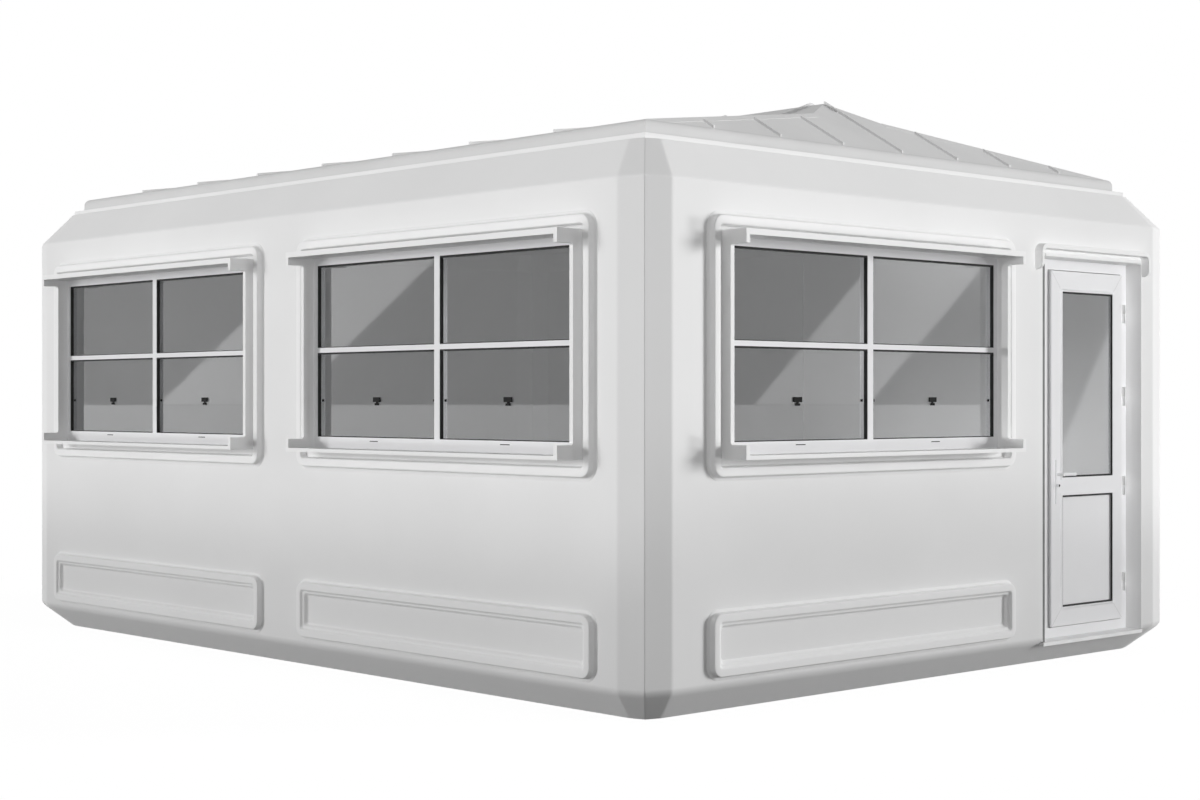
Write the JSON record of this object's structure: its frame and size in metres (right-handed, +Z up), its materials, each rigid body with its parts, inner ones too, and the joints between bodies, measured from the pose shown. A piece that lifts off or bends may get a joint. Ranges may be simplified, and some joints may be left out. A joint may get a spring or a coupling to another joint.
{
  "type": "security guard booth",
  "caption": "Security guard booth: a moulded white panel cabin with folded corners, a hipped standing-seam roof, wide windows in projecting surrounds and a part-glazed hinged door.",
  "frame": {"origin": "on the ground at the middle of the plan", "axes": "+Z up, +Y along the long side walls from the door end to the back, +X towards the door's side of the front wall"},
  "size_m": [4.168, 5.432, 2.858],
  "materials": {
    "moulded_panel": "satin",
    "window_profile": "satin",
    "roof_sheet": "satin",
    "tinted_glass": "clear",
    "black_plastic": "matte",
    "threshold_metal": "brushed",
    "door_metal": "satin",
    "floor_board": "matte"
  },
  "bodies": {
    "booth": {"floor_deck": "floor_board", "front_wall_panel": "moulded_panel", "front_wall_lintel": "moulded_panel", "front_wall_pier": "moulded_panel", "front_wall_skirt": "moulded_panel", "left_wall_front": "moulded_panel", "left_wall_back": "moulded_panel", "right_wall_front": "moulded_panel", "right_wall_back": "moulded_panel", "back_wall": "moulded_panel", "ceiling_panel": "moulded_panel", "inner_joint_strips": "moulded_panel", "eave_rim": "moulded_panel", "roof_fascia": "moulded_panel", "roof_front": "roof_sheet", "roof_back": "roof_sheet", "roof_left": "roof_sheet", "roof_right": "roof_sheet", "ridge_cap": "roof_sheet", "hip_caps": "roof_sheet", "front_window_moulding": "moulded_panel", "left_window_mouldings": "moulded_panel", "front_lower_moulding": "moulded_panel", "left_lower_mouldings": "moulded_panel", "blank_panel_mouldings": "moulded_panel", "front_window_surround": "moulded_panel", "left_front_window_surround": "moulded_panel", "left_back_window_surround": "moulded_panel", "front_window_frame": "window_profile", "left_front_window_frame": "window_profile", "left_back_window_frame": "window_profile", "front_window_glass": "tinted_glass", "left_front_window_glass": "tinted_glass", "left_back_window_glass": "tinted_glass", "pane_latches": "black_plastic", "door_canopy": "moulded_panel", "door_lining": "moulded_panel", "door_frame": "window_profile", "door_threshold": "threshold_metal", "door_hinge_posts": "door_metal"},
    "door": {"door_leaf": "window_profile", "door_glass": "tinted_glass", "door_panel": "window_profile", "door_handle": "door_metal", "door_hinge_flags": "door_metal"}
  },
  "joints": [
    {"name": "door_hinge", "type": "hinge", "parent": "booth", "child": "door", "pos_m": [1.6645, -2.561, 0.178], "axis": [0, 0, 1], "range_deg": [0, 90]}
  ]
}
